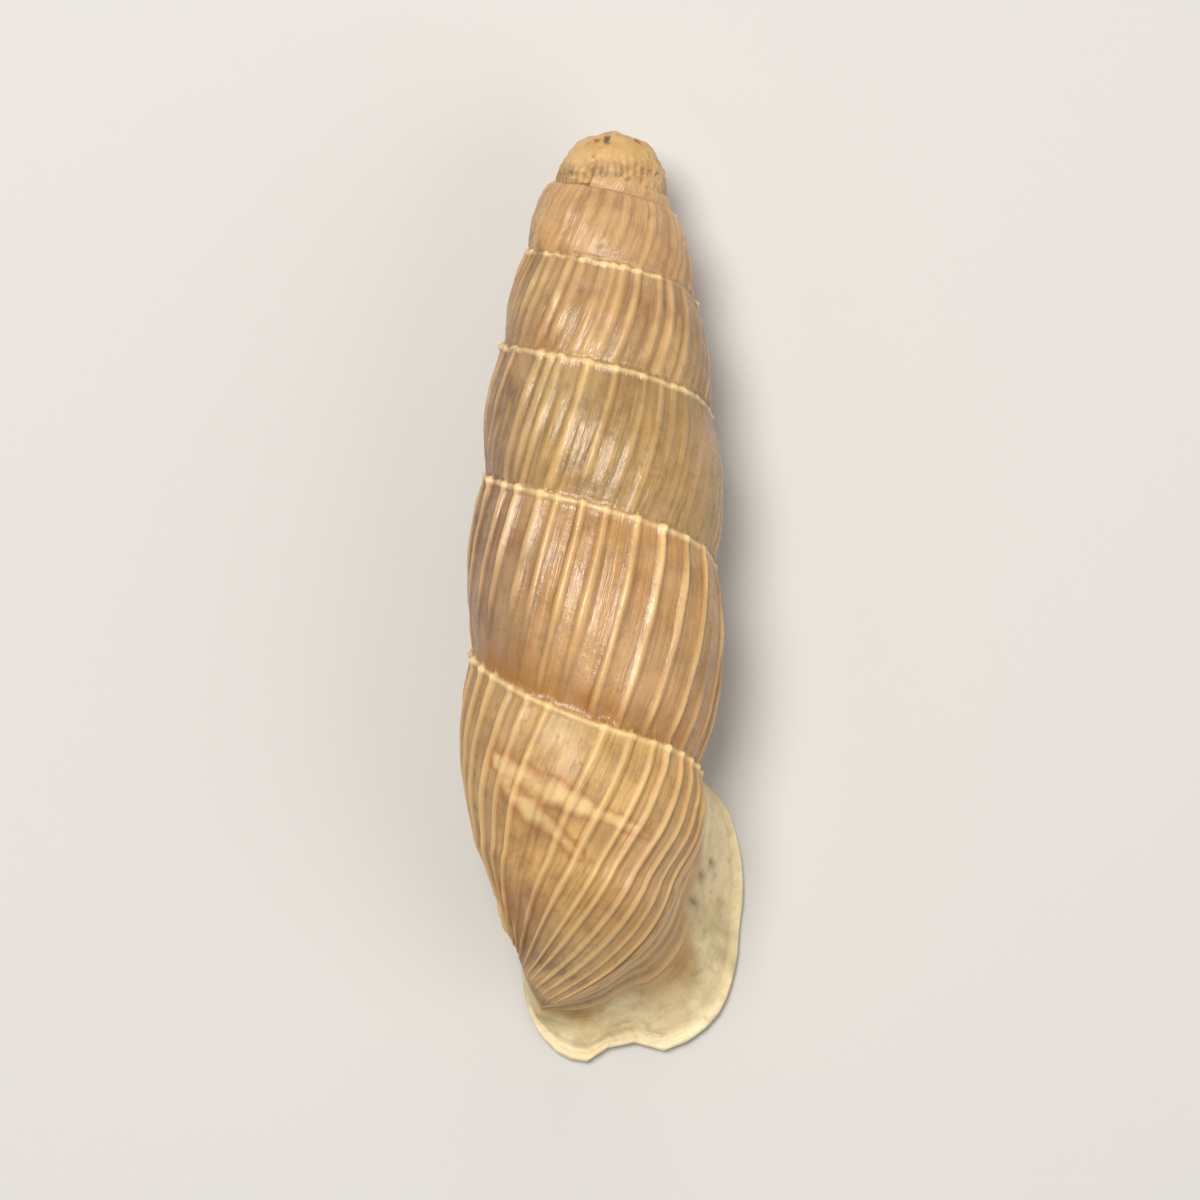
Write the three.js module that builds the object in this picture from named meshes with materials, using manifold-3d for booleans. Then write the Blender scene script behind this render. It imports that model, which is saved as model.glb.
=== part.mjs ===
// Land snail shell: a left-handed, ribbed, spindle-shaped spire that has shed its tip,
// lying on its mouth with the apex pointing to +Y. Millimetres, +Z up.
import * as THREE from 'three';
import { LoftGeometry } from 'three/addons/geometries/LoftGeometry.js';
import { mergeVertices } from 'three/addons/utils/BufferGeometryUtils.js';
import Module from 'manifold-3d';

// Growth is counted in half turns back from the mouth: 0 is the section behind the lip, on the
// +X side, 1 is the far side reached over the back, 2 is one whole turn earlier.
const FIRST_HALF_TURN = 10.5;
const STEPS_PER_HALF_TURN = 14;
const STEP = 1 / STEPS_PER_HALF_TURN;
const LAST_SUTURE_DROP = 15.71;       // from the level of the plug's shoulder to the last suture
const SPIRE_REACH = 20.95;            // what the whole spire would measure with its tip on
const HALF_TURN_RATIO = 0.855;        // each half turn back is this much less tall
const SUTURE_SAG = 0.42;              // the last suture dips on the back before the mouth
const GREATEST_SUTURE_RADIUS = 3.20;
const GREATEST_AT = 1.5;
const TAPER_LENGTH = 10.2;
const TAPER_POWER = 1.7;
const WHORL_BULGE = 0.36;
const YOUNG_WHORL_BULGE = 0.20;
const FIRST_SHOULDER = 0.14;          // the first whole whorl stands out this much more
const LAST_SWELL = 0.10;              // and so does the one above the mouth

// Lower edge of the outer wall over the last turn, at half turns 0, 1 and 2.
const WALL_END_DROP = [18.95, 17.77, 15.71];
const WALL_END_RADIUS = [3.05, 2.85, 3.13];
const BASE_DEPTH = [3.7, 4.7, 3.5];
const BASE_CURVE = [2.0, 1.1, 2.0];
const BASE_ROUNDING = [0.5, 0.7, 0.5];

const WALL_THICKNESS = 0.27;
const COLUMELLA_SHARE = 0.2;          // of the whorl's radius

// Rim of the lip in plan, as [x, drop]: from the last suture down the outer side, round the
// base, up the side of the columella and back over the parietal side.
const LIP_RIM = [
  [3.15, 15.65], [4.15, 16.7], [4.52, 18.3], [4.52, 19.9], [4.42, 20.95], [4.02, 22.1], [3.0, 23.02],
  [1.05, 23.5], [-0.2, 23.42], [-1.1, 22.4], [-1.4, 21.0], [-1.35, 19.6], [-1.0, 18.0],
  [-0.2, 16.6], [1.2, 15.75], [2.2, 15.5],
];
const LIP_CENTRE = new THREE.Vector2(1.5, 19.5);
const RIM_DEPTH = 2.62;               // of the rim's plane in front of the axis, at drop zero
const LYING_TILT = THREE.MathUtils.degToRad(5);
const LEAN_IN_PLAN = THREE.MathUtils.degToRad(-2.5);
const PLUG_ASIDE = 0.12;              // the plug's middle stands off the axis
const ARCH = 0.16;                    // the axis bows this far to +X half way down
const ARCH_LENGTH = 17;

const wasm = await Module();
wasm.setup();

const { lerp, smoothstep, clamp } = THREE.MathUtils;

/** A closed three.js surface as a manifold solid. */
function solid(geometry) {
  const bare = new THREE.BufferGeometry();
  bare.setAttribute('position', geometry.getAttribute('position'));
  bare.setIndex(geometry.getIndex());
  const welded = mergeVertices(bare, 1e-4);
  const corners = welded.index.array;
  const triangles = [];
  for (let i = 0; i < corners.length; i += 3) {
    const [a, b, c] = corners.slice(i, i + 3);
    if (a !== b && b !== c && c !== a) {
      triangles.push(a, b, c);
    }
  }
  return new wasm.Manifold(new wasm.Mesh({
    numProp: 3,
    vertProperties: new Float32Array(welded.attributes.position.array),
    triVerts: new Uint32Array(triangles),
  }));
}

/** A manifold solid as a three.js surface. */
function surface(body) {
  const mesh = body.getMesh();
  const geometry = new THREE.BufferGeometry();
  geometry.setAttribute('position', new THREE.BufferAttribute(mesh.vertProperties, 3));
  geometry.setIndex(new THREE.BufferAttribute(mesh.triVerts, 1));
  geometry.computeVertexNormals();
  return geometry;
}

/** Value at half turn k of a quantity given at half turns 0, 1 and 2. */
function alongLastTurn(values, k) {
  const [a, b, c] = values;
  const t = clamp(k, -0.2, 2);
  return a * (t - 1) * (t - 2) / 2 - b * t * (t - 2) + c * t * (t - 1) / 2;
}

/** Radius and drop of the suture at half turn k. */
function suture(k) {
  const away = Math.abs(k - GREATEST_AT) / TAPER_LENGTH;
  const sag = k > 0 && k < 1 ? SUTURE_SAG * Math.sin(Math.PI * k) ** 2 : 0;
  return new THREE.Vector2(
    GREATEST_SUTURE_RADIUS * (1 - away ** TAPER_POWER),
    LAST_SUTURE_DROP - SPIRE_REACH * (1 - HALF_TURN_RATIO ** k) + sag,
  );
}

/** Where the outer wall ends and the base of the whorl begins. */
function wallEnd(k) {
  if (k >= 2) {
    return suture(k - 2);
  }
  return new THREE.Vector2(alongLastTurn(WALL_END_RADIUS, k), alongLastTurn(WALL_END_DROP, k));
}

/** Outer wall of the whorl, v from 0 at its upper suture to 1 at its lower edge. */
function wall(k, v) {
  const bulge = lerp(WHORL_BULGE, YOUNG_WHORL_BULGE, smoothstep(k, 3, 7))
    + FIRST_SHOULDER * smoothstep(k, 7, 8.5) + LAST_SWELL * Math.exp(-(((k - 2) / 0.55) ** 2));
  const point = suture(k).lerp(wallEnd(k), v);
  const high = v ** lerp(1, 0.55, smoothstep(k, 6.3, 8.3));
  point.x += bulge * (4 * high * (1 - high)) ** 0.7;
  return point;
}

/** Base of the whorl, b from 0 at the wall's lower edge to 1 at the axis. */
function base(k, b) {
  const start = wallEnd(k);
  const depth = k >= 2 ? BASE_DEPTH[2] * start.x / WALL_END_RADIUS[2] : alongLastTurn(BASE_DEPTH, k);
  const curve = alongLastTurn(BASE_CURVE, k);
  const rounding = alongLastTurn(BASE_ROUNDING, k);
  return new THREE.Vector2(start.x * (1 - b ** curve) ** rounding, start.y + depth * b);
}

/** The half-plane point (radius, drop) placed round the axis. */
function place(point, k) {
  const bow = ARCH * Math.sin(Math.PI * clamp(point.y / ARCH_LENGTH, 0, 1));
  return new THREE.Vector3(
    bow + point.x * Math.cos(Math.PI * k),
    -point.y,
    point.x * Math.sin(Math.PI * k),
  );
}

const WALL_STATIONS = [0.04, 0.12, 0.24, 0.38, 0.52, 0.66, 0.79, 0.9, 0.97];
const BASE_STATIONS = [0.07, 0.2, 0.36, 0.52, 0.68, 0.83, 0.95];
const AXIS_STATIONS = [0, 0.25, 0.5, 0.75, 1];
const TOP_STATIONS = [0.3, 0.6, 0.85];
const AXIS_GAP = 0.04;
const FLOOR_STATIONS = [0.1, 0.3, 0.5, 0.7, 0.85, 1];
const ROOF_STATIONS = [0.98, 0.94, 0.86, 0.7, 0.5];

/** Whorl section as a closed ring: wall, base, axis, and a top buried in the whorl above. */
function whorlSection(k) {
  const shoulder = suture(k).add(new THREE.Vector2(-0.08, -0.1));
  const foot = new THREE.Vector2(AXIS_GAP, base(k, 1).y);
  const head = new THREE.Vector2(AXIS_GAP, suture(k).y + 0.2);
  const bowed = (from, to, t, bow) => from.clone().lerp(to, t).add(bow.clone().multiplyScalar(t * (1 - t)));
  return [
    shoulder,
    ...WALL_STATIONS.map((v) => wall(k, v)),
    ...BASE_STATIONS.map((b) => base(k, b)),
    ...AXIS_STATIONS.map((t) => bowed(foot, head, t, new THREE.Vector2(0.2, 0))),
    ...TOP_STATIONS.map((t) => bowed(head, shoulder, t, new THREE.Vector2(0, -0.3))),
  ];
}

/** Section of the hollow: wall and base set in by the shell's thickness, roof on the whorl above. */
function hollowSection(k) {
  const core = COLUMELLA_SHARE * suture(k).x;
  const ring = WALL_STATIONS.slice(1).map((v) => wall(k, v).sub(new THREE.Vector2(WALL_THICKNESS, 0)));
  const reach = wallEnd(k).x - WALL_THICKNESS - core;
  const depth = base(k, 1).y - wallEnd(k).y - 2 * WALL_THICKNESS;
  FLOOR_STATIONS.forEach((b) => {
    const share = (1 - b ** alongLastTurn(BASE_CURVE, k)) ** alongLastTurn(BASE_ROUNDING, k);
    ring.push(new THREE.Vector2(core + reach * share, wallEnd(k).y + depth * b));
  });
  ROOF_STATIONS.forEach((b) => ring.push(base(k + 2, b).add(new THREE.Vector2(0, 0.05))));
  return ring;
}

/** Rings of coiled tube from half turn `from` down to half turn `to`, one every step. */
function coil(section, from, to) {
  const steps = Math.round((from - to) * STEPS_PER_HALF_TURN);
  const rings = [];
  for (let i = 0; i <= steps; i += 1) {
    const k = from - i * STEP;
    rings.push(section(k).map((point) => place(point, k)));
  }
  return rings;
}

const rim = new THREE.SplineCurve([...LIP_RIM, LIP_RIM[0]].map(([x, drop]) => new THREE.Vector2(x, drop)));

/** Rings that carry the section behind the lip on to the lip's own outline. */
function neck(section, stations) {
  const start = section(0);
  return stations.map(([share, scale, lift]) => start.map((point, i) => {
    const flat = rim.getPointAt(i / start.length).sub(LIP_CENTRE).multiplyScalar(scale).add(LIP_CENTRE);
    const depth = -RIM_DEPTH - flat.y * Math.tan(LYING_TILT) + lift;
    return place(point, 0).lerp(new THREE.Vector3(flat.x, -flat.y, depth), share);
  }));
}

// Each station of the neck and throat: share of the way to the lip, size of the outline beside
// the rim's, and height above the rim's plane.
const NECK = [
  [0.2, 0.72, 1.6], [0.45, 0.72, 1.6], [0.7, 0.75, 1.25], [0.88, 0.82, 0.85],
  [0.97, 0.93, 0.5], [1.0, 0.99, 0.26], [1.0, 1.0, 0.12], [1.0, 0.965, 0.0],
];
const THROAT = [
  [0.2, 0.6, 1.6], [0.45, 0.6, 1.6], [0.7, 0.61, 1.25], [0.9, 0.63, 0.9],
  [1.0, 0.7, 0.5], [1.0, 0.82, 0.2], [1.0, 0.9, 0.04], [1.0, 0.93, -0.1],
];

/** A closed body through rings of points. */
function loft(rings) {
  return solid(new LoftGeometry(rings, { capStart: true, capEnd: true }));
}

/** Calcified plug that closes the spire where the tip has broken away. */
function plug() {
  const outline = new THREE.SplineCurve([
    new THREE.Vector2(0.0, -1.56),
    new THREE.Vector2(0.42, -1.4),
    new THREE.Vector2(0.93, -1.22),
    new THREE.Vector2(1.22, -0.86),
    new THREE.Vector2(1.39, -0.45),
    new THREE.Vector2(1.46, 0.0),
    new THREE.Vector2(0.9, 0.7),
    new THREE.Vector2(0.0, 0.8),
  ]);
  const profile = outline.getPoints(14).map((point) => new THREE.Vector2(Math.max(0, point.x), -point.y));
  return new THREE.LatheGeometry(profile.reverse(), 24).translate(PLUG_ASIDE, 0, 0);
}

/** Slim pillar the whorls wind round. */
function columella() {
  return new THREE.CylinderGeometry(0.12, 0.4, 22.4, 16).translate(0.1, -10.2, 0);
}

// The spire goes on in half turns down to the start of the last one, each length of coil
// running a step or two into the next. The last half turn, its neck and its lip are one length.
let spire = solid(plug()).add(solid(columella()));
for (let from = FIRST_HALF_TURN; from > 1; from -= 1) {
  const to = from > 2 ? from - 1 - STEP : 1 - 2 * STEP;
  spire = spire.add(loft(coil(whorlSection, from, to)));
}
const lastTurn = loft([...coil(whorlSection, 1 + STEP, 0), ...neck(whorlSection, NECK)]);
const mouth = loft([...coil(hollowSection, 1 + 3 * STEP, 0), ...neck(hollowSection, THROAT)]);
const hollow = loft(coil(hollowSection, 2 + 3 * STEP, 1 - 3 * STEP));
const grown = spire.add(lastTurn.subtract(mouth)).subtract(hollow);
const shell = grown.decompose().reduce((most, piece) => (piece.volume() > most.volume() ? piece : most));

const material = new THREE.MeshStandardMaterial({ color: 0xc8a679, roughness: 0.4, metalness: 0 });
const mesh = new THREE.Mesh(surface(shell), material);
mesh.name = 'shell';

const lying = new THREE.Group();
lying.rotation.set(-LYING_TILT, 0, LEAN_IN_PLAN, 'ZYX');
lying.add(mesh);
lying.updateMatrixWorld(true);
const box = new THREE.Box3().setFromObject(mesh, true);
const centre = box.getCenter(new THREE.Vector3());
lying.position.set(-centre.x, -centre.y, -box.min.z);

const group = new THREE.Group();
group.name = 'land_snail_shell';
group.add(lying);
export default group;
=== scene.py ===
"""Land snail shell: a ribbed, left-handed spindle shell lying on its mouth on a pale table."""

import logging
import math
import random
from dataclasses import dataclass, field
from enum import Enum
from typing import Callable, Sequence

import bmesh
import bpy
from mathutils import Euler, Matrix, Vector, noise


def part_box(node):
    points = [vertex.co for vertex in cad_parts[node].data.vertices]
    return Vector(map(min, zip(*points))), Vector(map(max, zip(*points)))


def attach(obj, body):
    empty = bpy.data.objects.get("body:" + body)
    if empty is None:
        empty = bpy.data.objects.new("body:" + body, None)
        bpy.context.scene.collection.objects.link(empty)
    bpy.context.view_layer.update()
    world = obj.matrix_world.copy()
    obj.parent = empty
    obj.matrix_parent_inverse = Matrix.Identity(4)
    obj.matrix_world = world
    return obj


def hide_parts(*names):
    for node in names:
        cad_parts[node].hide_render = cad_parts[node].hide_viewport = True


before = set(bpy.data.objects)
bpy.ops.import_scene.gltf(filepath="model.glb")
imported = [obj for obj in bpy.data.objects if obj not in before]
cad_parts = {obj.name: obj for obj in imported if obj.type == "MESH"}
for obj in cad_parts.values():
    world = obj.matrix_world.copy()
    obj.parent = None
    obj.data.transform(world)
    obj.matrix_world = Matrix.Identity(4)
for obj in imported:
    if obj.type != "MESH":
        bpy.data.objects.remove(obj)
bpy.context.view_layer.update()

LOG = logging.getLogger("snail_shell")
MM = 0.001
NODE = "shell"
NOMINAL_LENGTH = 25.407
LYING_TILT = math.radians(5)
LYING_TURN = math.radians(-2.5)


def smooth(value: float, low: float, high: float) -> float:
    """Return 0 below low, 1 above high and an S-curve between, whichever way round they are."""
    t = min(1.0, max(0.0, (value - low) / (high - low)))
    return t * t * (3.0 - 2.0 * t)


def bell(distance: float, width: float) -> float:
    """Return a bell curve of the given width at a distance from its middle."""
    return math.exp(-(distance / width) ** 2)


def blend(a: float, b: float, share: float) -> float:
    """Return the value a share of the way from a to b."""
    return a + (b - a) * share


def drift(*where: float) -> float:
    """Return smooth noise, about -1 to 1, at up to three coordinates."""
    place = list(where) + [0.37] * (3 - len(where))
    return noise.noise(Vector(place)) * 1.6


def spline(points: Sequence[tuple[float, ...]], t: float, closed: bool = False) -> tuple[float, ...]:
    """Follow a smooth curve through evenly counted points.

    Args:
        points: The points, each a tuple of the same length.
        t: Where on the curve, from 0 to 1.
        closed: Whether the last point runs on into the first.

    Returns:
        The curve's value at t.
    """
    count = len(points)
    spans = count if closed else count - 1
    at = min(max(t, 0.0), 1.0) * spans
    span = min(int(at), spans - 1)
    u = at - span

    def pick(index: int) -> tuple[float, ...]:
        return points[index % count] if closed else points[min(max(index, 0), count - 1)]

    corners = [pick(span + step) for step in (-1, 0, 1, 2)]
    return tuple(
        0.5 * ((2 * b) + (c - a) * u + (2 * a - 5 * b + 4 * c - d) * u ** 2
               + (3 * b - a - 3 * c + d) * u ** 3)
        for a, b, c, d in zip(*corners))


@dataclass(frozen=True)
class Coil:
    """The coiled tube, in millimetres, counted in half turns k back from the mouth.

    Half turn 0 lies on the +X side, 1 on the -X side reached over the back. A drop is a
    distance down the axis from the level of the tip's shoulder.
    """

    first: float = 10.5
    last_drop: float = 15.71
    reach: float = 20.95
    ratio: float = 0.855
    sag: float = 0.42
    greatest_radius: float = 3.20
    greatest_at: float = 1.5
    taper_length: float = 10.2
    taper_power: float = 1.7
    bulge: float = 0.36
    young_bulge: float = 0.20
    wall_end_drop: tuple[float, float, float] = (18.95, 17.77, 15.71)
    wall_end_radius: tuple[float, float, float] = (3.05, 2.85, 3.13)
    base_curve: tuple[float, float, float] = (2.8, 1.3, 2.0)
    base_rounding: tuple[float, float, float] = (0.5, 0.85, 0.5)
    base_ends: tuple[tuple[float, float, float], ...] = (
        (-0.80, 22.15, -2.1), (-1.22, 21.5, -1.75), (-1.45, 20.8, -1.25), (-1.6, 20.3, -0.8),
        (-1.6, 19.95, -0.55), (-1.45, 19.8, -0.5), (-1.1, 19.6, -0.45), (-0.6, 19.4, -0.3),
        (-0.1, 19.2, -0.1))
    arch: float = 0.16
    arch_length: float = 17.0

    @staticmethod
    def along(values: tuple[float, float, float], k: float) -> float:
        """Return a quantity given at half turns 0, 1 and 2 at half turn k."""
        a, b, c = values
        t = min(max(k, -0.2), 2.0)
        return a * (t - 1) * (t - 2) / 2 - b * t * (t - 2) + c * t * (t - 1) / 2

    def suture(self, k: float) -> tuple[float, float]:
        """Return the radius and drop of the upper suture at half turn k."""
        away = abs(k - self.greatest_at) / self.taper_length
        sag = self.sag * math.sin(math.pi * k) ** 2 if 0 < k < 1 else 0.0
        return (self.greatest_radius * (1 - away ** self.taper_power),
                self.last_drop - self.reach * (1 - self.ratio ** k) + sag)

    def wall_end(self, k: float) -> tuple[float, float]:
        """Return the radius and drop where the outer wall ends and the base begins."""
        if k >= 2:
            return self.suture(k - 2)
        return self.along(self.wall_end_radius, k), self.along(self.wall_end_drop, k)

    def wall(self, k: float, v: float) -> tuple[float, float]:
        """Return the outer wall at v, from 0 at the upper suture to 1 at its lower edge."""
        bulge = blend(self.bulge, self.young_bulge, smooth(k, 3, 7)) + 0.14 * smooth(k, 7, 8.5)
        bulge += 0.10 * bell(k - 2.0, 0.55)
        (top, upper), (foot, lower) = self.suture(k), self.wall_end(k)
        high = v ** blend(1.0, 0.55, smooth(k, 6.3, 8.3))
        easing = blend(0.7, 1.5, smooth(k, 2.0, 1.8) * smooth(v, 0.4, 0.8))
        out = bulge * max(0.0, 4 * high * (1 - high)) ** easing
        return blend(top, foot, v) + out, blend(upper, lower, v)

    def inner_end(self, k: float) -> Vector:
        """Return where the line of growth that ends the base at half turn k runs in."""
        x, drop, z = spline(self.base_ends, k / 2)
        if k > 2:
            drop -= self.last_drop - self.suture(k - 2)[1]
        return Vector((x, -drop, z))

    def base(self, k: float, b: float, end: Vector) -> Vector:
        """Return the base at b, from 0 at the wall's lower edge to 1 at its inner end."""
        radius, drop = self.wall_end(k)
        curve, rounding = self.along(self.base_curve, k), self.along(self.base_rounding, k)
        out = max(0.0, 1 - b ** curve) ** rounding
        outer = self.place((radius * out, blend(drop, -end.y, b)), k)
        return outer + Vector((end.x, 0.0, end.z)) * b ** 2

    def place(self, point: tuple[float, float], k: float) -> Vector:
        """Return a (radius, drop) pair as a point round the axis at half turn k."""
        radius, drop = point
        bow = self.arch * math.sin(math.pi * min(max(drop / self.arch_length, 0), 1))
        angle = math.pi * k
        return Vector((bow + radius * math.cos(angle), -drop, radius * math.sin(angle)))


@dataclass
class Rib:
    """One rib, where the whorl paused in its growth."""

    at: float
    strength: float
    width: float
    fades_from: float
    starts_at: float


@dataclass
class Ribs:
    """All the ribs from the tip to the lip, thrown up at uneven spacing."""

    coil: Coil
    depth: float = 0.14
    seed: int = 11
    ribs: list[Rib] = field(default_factory=list)

    def __post_init__(self) -> None:
        """Set out the ribs from the tip towards the mouth."""
        draw = random.Random(self.seed)
        at = self.coil.first + 0.1
        while at > -0.02:
            per_turn = blend(29, 46, smooth(at, 3.2, 4.6)) + 8 * smooth(at, 6, 9)
            per_turn += 10 * smooth(at, 0.45, 0.1)
            fine = draw.random() < 0.25 * smooth(at, 2.6, 4.2) + 0.12
            strength = draw.uniform(0.35, 0.6) if fine else draw.uniform(0.75, 1.0)
            self.ribs.append(Rib(
                at=at,
                strength=strength,
                width=draw.uniform(0.10, 0.15),
                fades_from=draw.uniform(0.55, 1.1),
                starts_at=draw.uniform(0.25, 0.5) if fine else -1.0))
            at -= 2 / per_turn * draw.uniform(0.72, 1.28)

    def nearest(self, k: float) -> list[tuple[Rib, float]]:
        """Return the ribs that reach half turn k, each with its distance in millimetres."""
        radius = self.coil.suture(max(k, 0.0))[0] + 0.2
        found = []
        for rib in self.ribs:
            gap = abs(rib.at - k) * math.pi * radius
            if gap < 0.5:
                found.append((rib, gap))
        return found

    def crest(self, near: list[tuple[Rib, float]], v: float) -> float:
        """Return how far up a rib the surface is, 0 between ribs and 1 on a full crest."""
        best = 0.0
        for rib, gap in near:
            strength = rib.strength
            if rib.starts_at > 0:
                strength *= smooth(v, rib.starts_at - 0.12, rib.starts_at + 0.12)
            strength *= 1 - 0.55 * smooth(v, rib.fades_from, rib.fades_from + 0.3)
            strength *= 0.86 + 0.26 * drift(v * 6, rib.at * 31)
            strength *= 1 - 0.5 * bell(rib.at - 4.2, 0.35) - 0.3 * bell(rib.at - 8.3, 0.8)
            strength *= 1 - 0.8 * smooth(v, 0.45, 0.75) * bell(rib.at - 2.68, 0.2)
            best = max(best, strength * bell(gap, rib.width))
        return best

    def relief(self, k: float) -> float:
        """Return the depth of the grooves between ribs at half turn k."""
        return self.depth * (1 - 0.35 * smooth(k, 3, 5)) * (1 - 0.4 * smooth(k, 6, 9))


class Mark(Enum):
    """What a point of the surface carries, kept on the mesh for the finish to read."""

    CREST = "crest"
    THREAD = "thread"
    LIP = "lip"
    INSIDE = "inside"
    FOLD = "fold"
    # Dirt in pits, and painted shade between the folds and in the crevice at the plug's foot.
    DIRT_AND_PAINTED_SHADE = "dirt_and_painted_shade"
    STAIN = "stain"
    RELIEF = "relief"


@dataclass
class Spot:
    """A point of the surface with its marks and its place along and across the growth."""

    point: Vector
    grown: float
    across: float
    marks: dict[Mark, float] = field(default_factory=dict)


class Surface:
    """A surface laid out from grids whose shared edges are welded."""

    def __init__(self) -> None:
        """Start an empty mesh with one layer for each mark and one for growth."""
        self.mesh = bmesh.new()
        self.layers = {mark: self.mesh.verts.layers.float.new(mark.value) for mark in Mark}
        self.growth = self.mesh.loops.layers.uv.new("Growth")

    def lay(self, rows: int, columns: int, spot: Callable[[int, int], Spot]) -> None:
        """Lay one grid of the surface.

        Args:
            rows: How many spans the grid has along the growth.
            columns: How many spans it has across the growth.
            spot: Gives the surface at a row and a column.
        """
        made = bmesh.ops.create_grid(
            self.mesh, x_segments=columns, y_segments=rows, size=1.0, calc_uvs=False)
        places = {}
        for vert in made["verts"]:
            column = round((vert.co.x + 1) * columns / 2)
            row = round((vert.co.y + 1) * rows / 2)
            here = spot(row, column)
            places[vert] = (here.grown, here.across)
            vert.co = here.point
            for mark, value in here.marks.items():
                vert[self.layers[mark]] = value
        faces = {face for vert in made["verts"] for face in vert.link_faces}
        for face in faces:
            for loop in face.loops:
                loop[self.growth].uv = places[loop.vert]

    def finish(self, name: str, place: Matrix) -> bpy.types.Object:
        """Weld, close and raise the ribs, and return the piece.

        Args:
            name: The piece's name.
            place: Takes the shell's own millimetres to where it lies.

        Returns:
            The finished object, at the origin.
        """
        mesh = self.mesh
        bmesh.ops.remove_doubles(mesh, verts=mesh.verts, dist=2e-4)
        bmesh.ops.dissolve_degenerate(mesh, edges=mesh.edges, dist=1e-5)
        open_edges = [edge for edge in mesh.edges if edge.is_boundary]
        LOG.info("%s: %d open edges closed", name, len(open_edges))
        bmesh.ops.holes_fill(mesh, edges=open_edges, sides=0)
        bmesh.ops.recalc_face_normals(mesh, faces=mesh.faces)
        mesh.normal_update()
        relief = self.layers[Mark.RELIEF]
        moves = [(vert, vert.normal * vert[relief]) for vert in mesh.verts]
        for vert, move in moves:
            vert.co += move
        for face in mesh.faces:
            face.smooth = True
        bmesh.ops.transform(mesh, matrix=place, verts=mesh.verts)
        data = bpy.data.meshes.new(name)
        mesh.to_mesh(data)
        mesh.free()
        piece = bpy.data.objects.new(name, data)
        bpy.context.collection.objects.link(piece)
        return piece


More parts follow.
